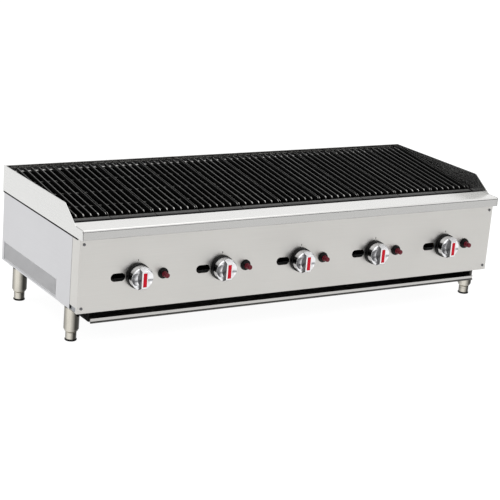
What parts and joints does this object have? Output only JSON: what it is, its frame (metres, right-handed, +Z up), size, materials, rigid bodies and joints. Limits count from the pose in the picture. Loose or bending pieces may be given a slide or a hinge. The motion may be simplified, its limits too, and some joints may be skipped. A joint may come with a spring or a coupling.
{
  "type": "gas charbroiler grill",
  "caption": "Countertop gas charbroiler in stainless sheet: sloping cast-iron grates over burners, front rail with knobs and igniters, side guards, drip tray and adjustable legs.",
  "frame": {"origin": "on the floor plane of the feet, under the middle of the machine's overall box", "axes": "+X to the right seen from the front, +Y from the front (controls) to the back, +Z up"},
  "size_m": [1.524, 0.634, 0.41],
  "materials": {
    "stainless": "brushed, grain along the length",
    "stainless_guard": "fine brushed, bright",
    "stainless_inner": "heat-dulled mill finish",
    "frame_steel": "galvanised",
    "grate_iron": "seasoned cast iron, satin on the rib tops",
    "burner_iron": "rough cast iron",
    "black_pipe": "black pipe",
    "brass": "machined",
    "knob_chrome": "satin chrome",
    "black_plastic": "gloss black",
    "red_plastic": "dark red",
    "leg_steel": "warm nickel",
    "screw_steel": "plain"
  },
  "bodies": {
    "cabinet": {"front_panel": "stainless", "side_panel_left": "stainless", "side_panel_right": "stainless", "splash_guard_left": "stainless_guard", "splash_guard_right": "stainless_guard", "vent_screens": "stainless_inner", "back_panel": "stainless", "rear_cap": "stainless_guard", "top_rail": "stainless_guard", "base_frame": "frame_steel", "corner_posts": "frame_steel", "tray_runners": "frame_steel", "legs": "leg_steel", "firebox_walls": "stainless_inner", "grate_rails": "stainless_inner", "support_bars": "frame_steel", "burners": "burner_iron", "radiants": "burner_iron", "gas_manifold": "black_pipe", "gas_inlet": "black_pipe", "gas_valves": "brass", "orifice_hoods": "brass", "pilot_burners": "stainless_inner", "igniter_sockets": "black_plastic", "screws": "screw_steel"},
    "drip_tray": {"drip_tray": "stainless"},
    "knob_1": {"knob_1": "knob_chrome", "knob_skirt_1": "black_plastic", "valve_stem_1": "screw_steel"},
    "igniter_button_1": {"igniter_button_1": "red_plastic"},
    "knob_2": {"knob_2": "knob_chrome", "knob_skirt_2": "black_plastic", "valve_stem_2": "screw_steel"},
    "igniter_button_2": {"igniter_button_2": "red_plastic"},
    "knob_3": {"knob_3": "knob_chrome", "knob_skirt_3": "black_plastic", "valve_stem_3": "screw_steel"},
    "igniter_button_3": {"igniter_button_3": "red_plastic"},
    "knob_4": {"knob_4": "knob_chrome", "knob_skirt_4": "black_plastic", "valve_stem_4": "screw_steel"},
    "igniter_button_4": {"igniter_button_4": "red_plastic"},
    "knob_5": {"knob_5": "knob_chrome", "knob_skirt_5": "black_plastic", "valve_stem_5": "screw_steel"},
    "igniter_button_5": {"igniter_button_5": "red_plastic"},
    "grate_1": {"grate_1": "grate_iron"},
    "grate_2": {"grate_2": "grate_iron"},
    "grate_3": {"grate_3": "grate_iron"},
    "grate_4": {"grate_4": "grate_iron"},
    "grate_5": {"grate_5": "grate_iron"},
    "grate_6": {"grate_6": "grate_iron"},
    "grate_7": {"grate_7": "grate_iron"},
    "grate_8": {"grate_8": "grate_iron"},
    "grate_9": {"grate_9": "grate_iron"},
    "grate_10": {"grate_10": "grate_iron"},
    "foot_front_left": {"foot_front_left": "leg_steel"},
    "foot_front_right": {"foot_front_right": "leg_steel"},
    "foot_rear_left": {"foot_rear_left": "leg_steel"},
    "foot_rear_right": {"foot_rear_right": "leg_steel"}
  },
  "joints": [
    {"name": "drip_tray_slide", "type": "slide", "parent": "cabinet", "child": "drip_tray", "axis": [0, -1, 0], "range_m": [0, 0.45]},
    {"name": "knob_1_turn", "type": "hinge", "parent": "cabinet", "child": "knob_1", "pos_m": [-0.568, -0.268, 0.205], "axis": [0, 1, 0], "range_deg": [-90, 0]},
    {"name": "igniter_button_1_press", "type": "slide", "parent": "cabinet", "child": "igniter_button_1", "axis": [0, 1, 0], "range_m": [0, 0.006], "stiffness_N_per_m": 500},
    {"name": "knob_2_turn", "type": "hinge", "parent": "cabinet", "child": "knob_2", "pos_m": [-0.284, -0.268, 0.205], "axis": [0, 1, 0], "range_deg": [-90, 0]},
    {"name": "igniter_button_2_press", "type": "slide", "parent": "cabinet", "child": "igniter_button_2", "axis": [0, 1, 0], "range_m": [0, 0.006], "stiffness_N_per_m": 500},
    {"name": "knob_3_turn", "type": "hinge", "parent": "cabinet", "child": "knob_3", "pos_m": [0, -0.268, 0.205], "axis": [0, 1, 0], "range_deg": [-90, 0]},
    {"name": "igniter_button_3_press", "type": "slide", "parent": "cabinet", "child": "igniter_button_3", "axis": [0, 1, 0], "range_m": [0, 0.006], "stiffness_N_per_m": 500},
    {"name": "knob_4_turn", "type": "hinge", "parent": "cabinet", "child": "knob_4", "pos_m": [0.284, -0.268, 0.205], "axis": [0, 1, 0], "range_deg": [-90, 0]},
    {"name": "igniter_button_4_press", "type": "slide", "parent": "cabinet", "child": "igniter_button_4", "axis": [0, 1, 0], "range_m": [0, 0.006], "stiffness_N_per_m": 500},
    {"name": "knob_5_turn", "type": "hinge", "parent": "cabinet", "child": "knob_5", "pos_m": [0.568, -0.268, 0.205], "axis": [0, 1, 0], "range_deg": [-90, 0]},
    {"name": "igniter_button_5_press", "type": "slide", "parent": "cabinet", "child": "igniter_button_5", "axis": [0, 1, 0], "range_m": [0, 0.006], "stiffness_N_per_m": 500},
    {"name": "grate_1_lift", "type": "slide", "parent": "cabinet", "child": "grate_1", "axis": [0, 0, 1], "range_m": [0, 0.15]},
    {"name": "grate_2_lift", "type": "slide", "parent": "cabinet", "child": "grate_2", "axis": [0, 0, 1], "range_m": [0, 0.15]},
    {"name": "grate_3_lift", "type": "slide", "parent": "cabinet", "child": "grate_3", "axis": [0, 0, 1], "range_m": [0, 0.15]},
    {"name": "grate_4_lift", "type": "slide", "parent": "cabinet", "child": "grate_4", "axis": [0, 0, 1], "range_m": [0, 0.15]},
    {"name": "grate_5_lift", "type": "slide", "parent": "cabinet", "child": "grate_5", "axis": [0, 0, 1], "range_m": [0, 0.15]},
    {"name": "grate_6_lift", "type": "slide", "parent": "cabinet", "child": "grate_6", "axis": [0, 0, 1], "range_m": [0, 0.15]},
    {"name": "grate_7_lift", "type": "slide", "parent": "cabinet", "child": "grate_7", "axis": [0, 0, 1], "range_m": [0, 0.15]},
    {"name": "grate_8_lift", "type": "slide", "parent": "cabinet", "child": "grate_8", "axis": [0, 0, 1], "range_m": [0, 0.15]},
    {"name": "grate_9_lift", "type": "slide", "parent": "cabinet", "child": "grate_9", "axis": [0, 0, 1], "range_m": [0, 0.15]},
    {"name": "grate_10_lift", "type": "slide", "parent": "cabinet", "child": "grate_10", "axis": [0, 0, 1], "range_m": [0, 0.15]},
    {"name": "foot_front_left_adjust", "type": "slide", "parent": "cabinet", "child": "foot_front_left", "axis": [0, 0, -1], "range_m": [0, 0.022]},
    {"name": "foot_front_right_adjust", "type": "slide", "parent": "cabinet", "child": "foot_front_right", "axis": [0, 0, -1], "range_m": [0, 0.022]},
    {"name": "foot_rear_left_adjust", "type": "slide", "parent": "cabinet", "child": "foot_rear_left", "axis": [0, 0, -1], "range_m": [0, 0.022]},
    {"name": "foot_rear_right_adjust", "type": "slide", "parent": "cabinet", "child": "foot_rear_right", "axis": [0, 0, -1], "range_m": [0, 0.022]}
  ]
}
